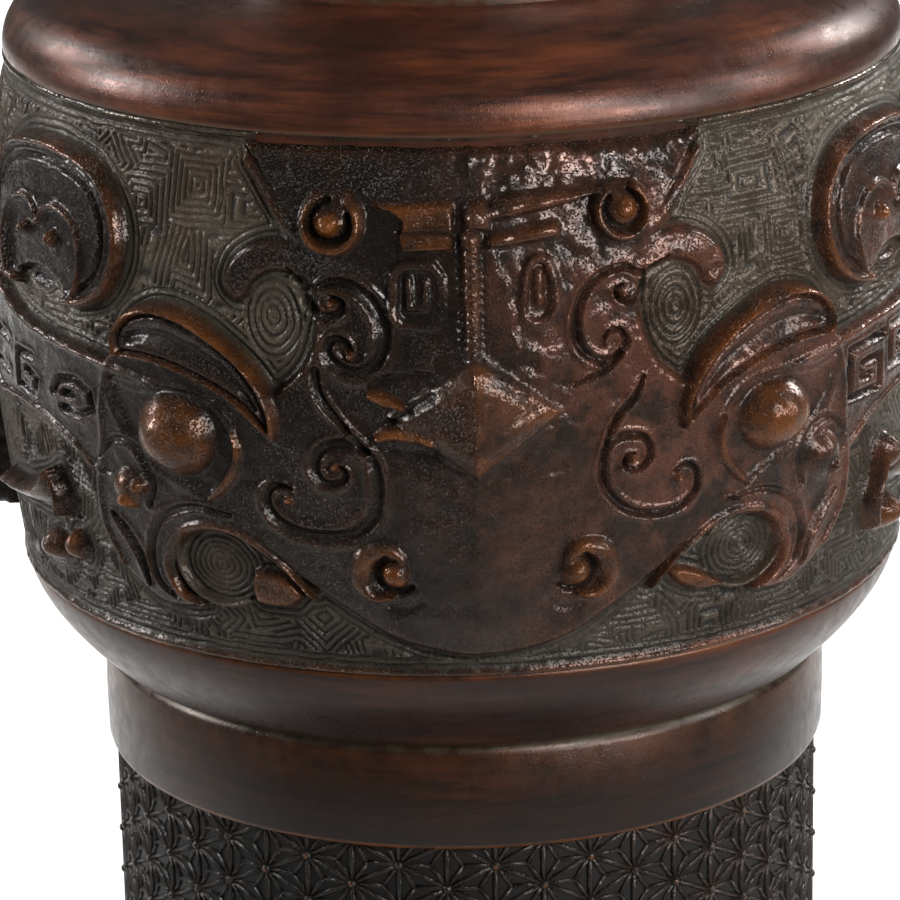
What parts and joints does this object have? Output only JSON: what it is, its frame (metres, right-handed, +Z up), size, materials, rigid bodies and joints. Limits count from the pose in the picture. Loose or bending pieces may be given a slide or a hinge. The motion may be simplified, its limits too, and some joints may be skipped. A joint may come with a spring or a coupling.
{
  "type": "bronze gu vase",
  "caption": "Tall hollow cast bronze vase with a trumpet neck, a swelling middle carrying animal masks in relief between plain side flanges, and a spreading foot.",
  "frame": {"origin": "centre of the foot's underside, on the surface it stands on", "axes": "+Z up along the vase, a mask faces -Y and another +Y, the side flanges point along +X and -X"},
  "size_m": [0.244, 0.244, 0.5],
  "materials": {
    "patinated_bronze": null
  },
  "bodies": {
    "root": {"gu_vase": "patinated_bronze"}
  },
  "joints": []
}
